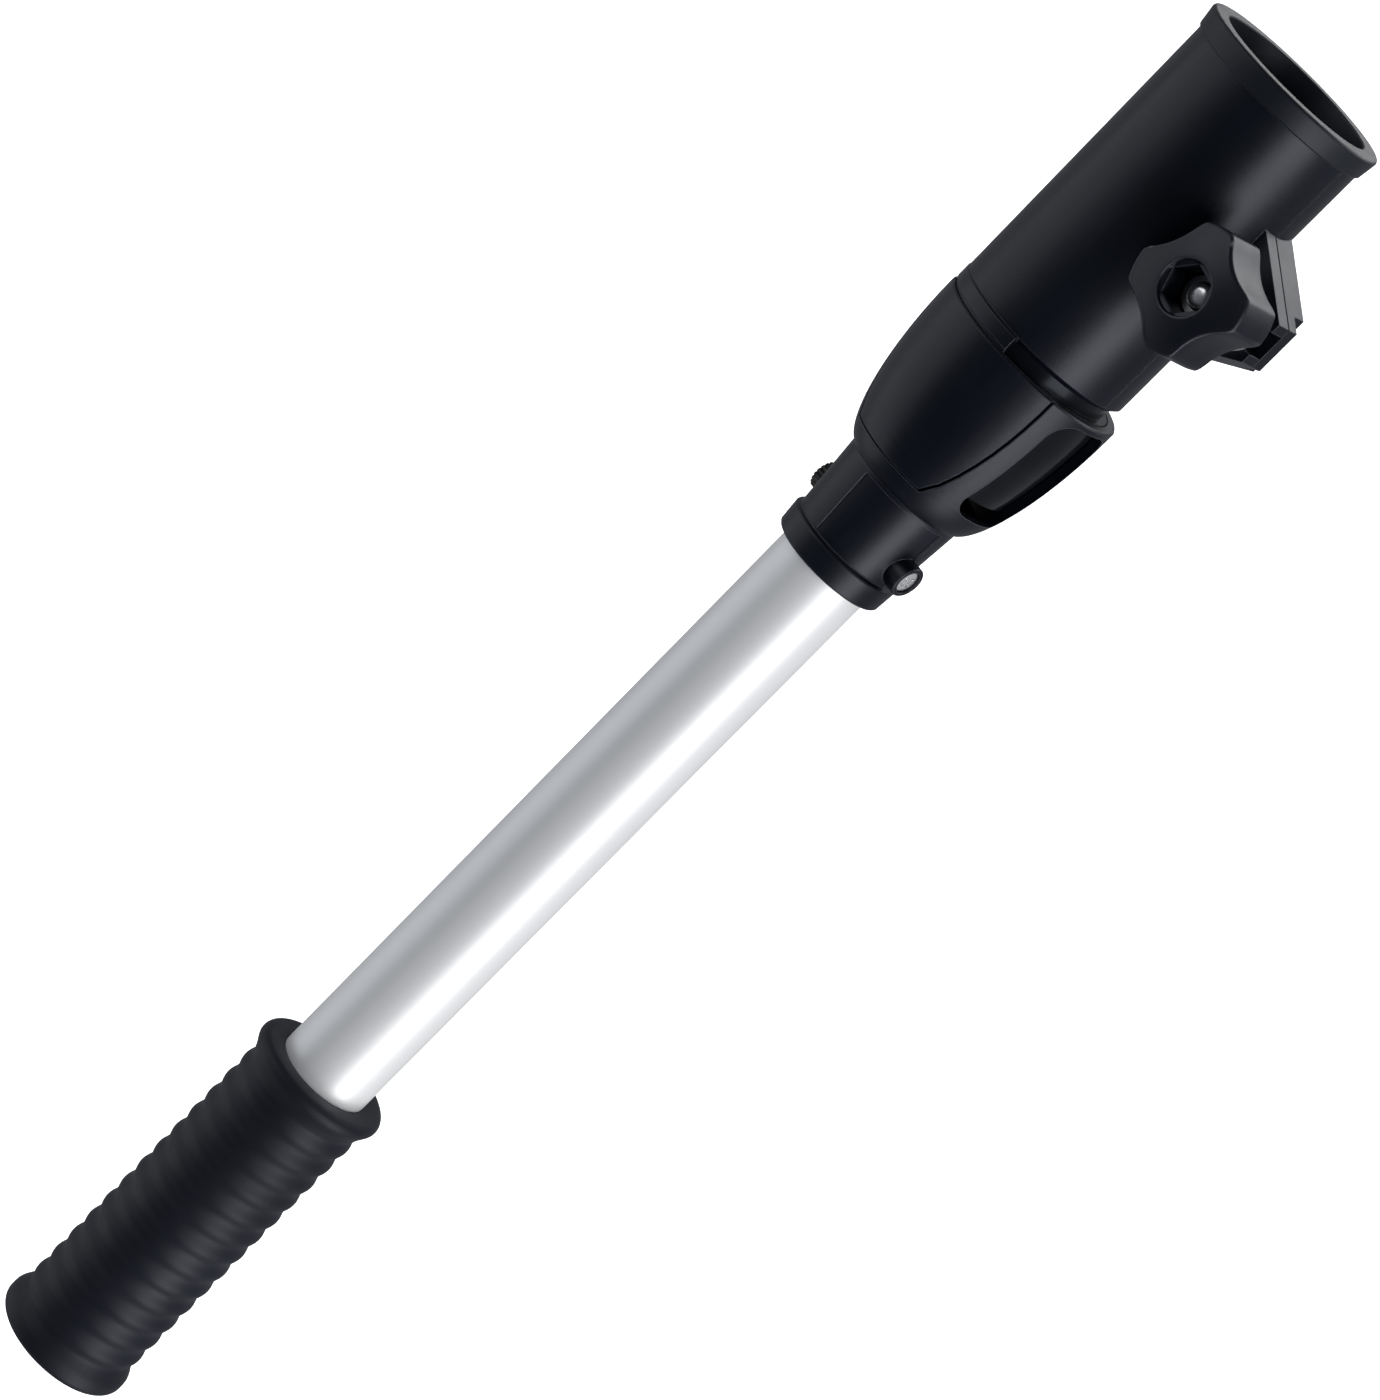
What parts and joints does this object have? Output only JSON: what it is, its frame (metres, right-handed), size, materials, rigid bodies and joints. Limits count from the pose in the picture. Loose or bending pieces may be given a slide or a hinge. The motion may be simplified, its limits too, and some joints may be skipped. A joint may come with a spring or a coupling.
{
  "type": "tiller extension handle",
  "caption": "Clamp-on extension handle: ribbed rubber grip on an aluminium tube, moulded housing with a split clamp socket closed by a star knob.",
  "frame": {"origin": "centre of the clamp socket's bore at its mouth", "axes": "+X along the handle and out of the socket's mouth, +Z towards the side the knob faces, clamp ears to -Y"},
  "size_m": [0.4356, 0.075, 0.0569],
  "materials": {
    "anodised_tube": "satin anodised",
    "grip_rubber": "matt moulded rubber",
    "hidden_plastic": "plain moulded",
    "satin_plastic": "satin moulded, fine grain",
    "panel_plastic": "satin moulded, smooth",
    "gloss_core": "glossy moulded",
    "liner_rubber": "matt moulded rubber",
    "bright_steel": "bright zinc plated",
    "dark_nut": "blackened, knurled",
    "knob_plastic": "satin moulded"
  },
  "bodies": {
    "root": {"tube": "anodised_tube", "grip": "grip_rubber", "grip_plug": "hidden_plastic", "bolt_plug": "hidden_plastic", "housing": "satin_plastic", "panel_front": "panel_plastic", "panel_back": "panel_plastic", "core": "gloss_core", "socket": "satin_plastic", "liner": "liner_rubber", "cross_bolt": "bright_steel", "cross_nut": "dark_nut", "clamp_bolt": "bright_steel"},
    "knob_carrier": {"knob_washer": "bright_steel"},
    "knob": {"knob": "knob_plastic", "knob_nut": "bright_steel"}
  },
  "joints": [
    {"name": "knob_travel", "type": "slide", "parent": "root", "child": "knob_carrier", "axis": [0, 0, 1], "range_m": [0, 0.003]},
    {"name": "knob_turn", "type": "hinge", "parent": "knob_carrier", "child": "knob", "pos_m": [-0.0433, -0.034, 0], "axis": [0, 0, 1], "range_deg": [0, 1081]}
  ],
  "couplings": [
    {"joint": "knob_turn", "follows": "knob_travel", "rad_per_m": 6283.2}
  ]
}
